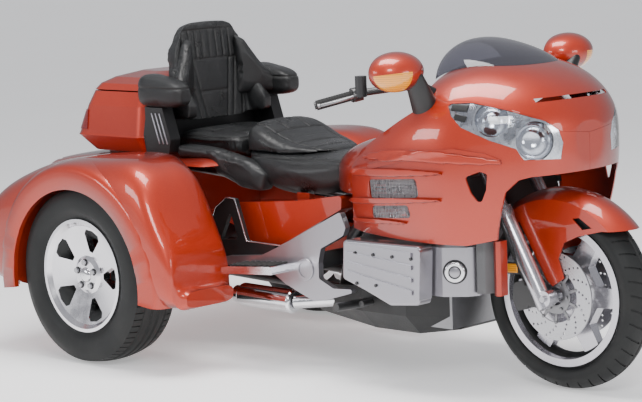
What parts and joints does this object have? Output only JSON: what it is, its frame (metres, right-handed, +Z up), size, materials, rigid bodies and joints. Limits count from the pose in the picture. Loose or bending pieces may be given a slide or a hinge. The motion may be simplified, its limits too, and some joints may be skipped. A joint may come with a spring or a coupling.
{
  "type": "motor trike",
  "caption": "Faired touring trike with a wide wheeled rear body, luggage box, stepped seat and steered front wheel.",
  "frame": {"origin": "on the floor, at the middle of the outline's rectangle", "axes": "+X forward, +Y to the rider's left, +Z up"},
  "size_m": [2.5799, 1.4265, 1.2072],
  "materials": {
    "orange_paint": "gloss metallic",
    "black_leather": "satin",
    "black_plastic": "satin",
    "grey_plastic": "matte",
    "black_metal": "satin",
    "cast_alloy": "cast",
    "silver_cover": "satin",
    "wheel_silver": "satin",
    "polished_wheel": "polished",
    "chrome": "polished",
    "steel": "ground",
    "grip_rubber": "matte",
    "tyre": "matte",
    "red_lens": "gloss",
    "amber_lens": "gloss",
    "clear_lens": "gloss",
    "lamp_bowl": "polished",
    "mirror": "mirror",
    "smoked_screen": "gloss"
  },
  "bodies": {
    "chassis": {"main_frame": "black_metal", "engine_block": "cast_alloy", "valve_covers": "silver_cover", "engine_side_covers": "silver_cover", "engine_caps": "chrome", "radiator_covers": "grey_plastic", "lower_cowls": "orange_paint", "radiator_panel": "black_plastic", "belly_pan": "black_plastic", "exhausts": "chrome", "frame_covers": "silver_cover", "side_panels": "orange_paint", "seat_trims": "black_plastic", "passenger_floorboards": "black_metal", "rider_footpegs": "black_metal", "rear_axle": "black_metal", "rear_body": "orange_paint", "tail_lamps": "red_lens", "seat_skirt": "black_leather", "rider_seat": "black_leather", "passenger_seat": "black_leather", "backrest": "black_leather", "armrests": "black_leather", "luggage_box": "orange_paint", "box_front": "black_plastic", "box_lamps": "red_lens", "side_fairings": "orange_paint", "vent_grilles": "black_plastic", "nose_cowl": "orange_paint", "headlamp_lenses": "clear_lens", "headlamp_bowls": "lamp_bowl", "tank_shelter": "orange_paint", "windscreen": "smoked_screen", "dash_panel": "grey_plastic", "mirror_housings": "orange_paint", "mirror_lamps": "amber_lens", "mirror_glasses": "mirror", "mirror_stalks": "black_plastic"},
    "fork": {"front_axle": "steel", "fork_legs": "cast_alloy", "lower_clamp": "cast_alloy", "upper_clamp": "cast_alloy", "handlebars": "black_metal", "grips": "grip_rubber", "hand_controls": "black_metal", "front_fender": "orange_paint", "front_calipers": "black_metal"},
    "front_wheel": {"front_rim": "wheel_silver", "front_tyre": "tyre", "brake_discs": "steel"},
    "rear_wheel_right": {"rear_rim_right": "polished_wheel", "rear_tyre_right": "tyre"},
    "rear_wheel_left": {"rear_rim_left": "polished_wheel", "rear_tyre_left": "tyre"},
    "luggage_lid": {"luggage_lid": "orange_paint"},
    "trunk_door": {"trunk_door": "orange_paint"}
  },
  "joints": [
    {"name": "steering", "type": "hinge", "parent": "chassis", "child": "fork", "pos_m": [0.90162, 0, 0.32], "axis": [-0.4848, 0, 0.8746], "range_deg": [-35, 35]},
    {"name": "front_wheel_spin", "type": "hinge", "parent": "fork", "child": "front_wheel", "pos_m": [0.97, 0, 0.32], "axis": [0, 1, 0], "continuous": true},
    {"name": "rear_wheel_right_spin", "type": "hinge", "parent": "chassis", "child": "rear_wheel_right", "pos_m": [-0.73, -0.587, 0.324], "axis": [0, 1, 0], "continuous": true},
    {"name": "rear_wheel_left_spin", "type": "hinge", "parent": "chassis", "child": "rear_wheel_left", "pos_m": [-0.73, 0.587, 0.324], "axis": [0, 1, 0], "continuous": true},
    {"name": "luggage_lid_hinge", "type": "hinge", "parent": "chassis", "child": "luggage_lid", "pos_m": [-0.778, 0, 0.952], "axis": [0, 1, 0], "range_deg": [0, 35]},
    {"name": "trunk_door_hinge", "type": "hinge", "parent": "chassis", "child": "trunk_door", "pos_m": [-1.28, 0, 0.466], "axis": [0, -1, 0], "range_deg": [0, 85]}
  ]
}
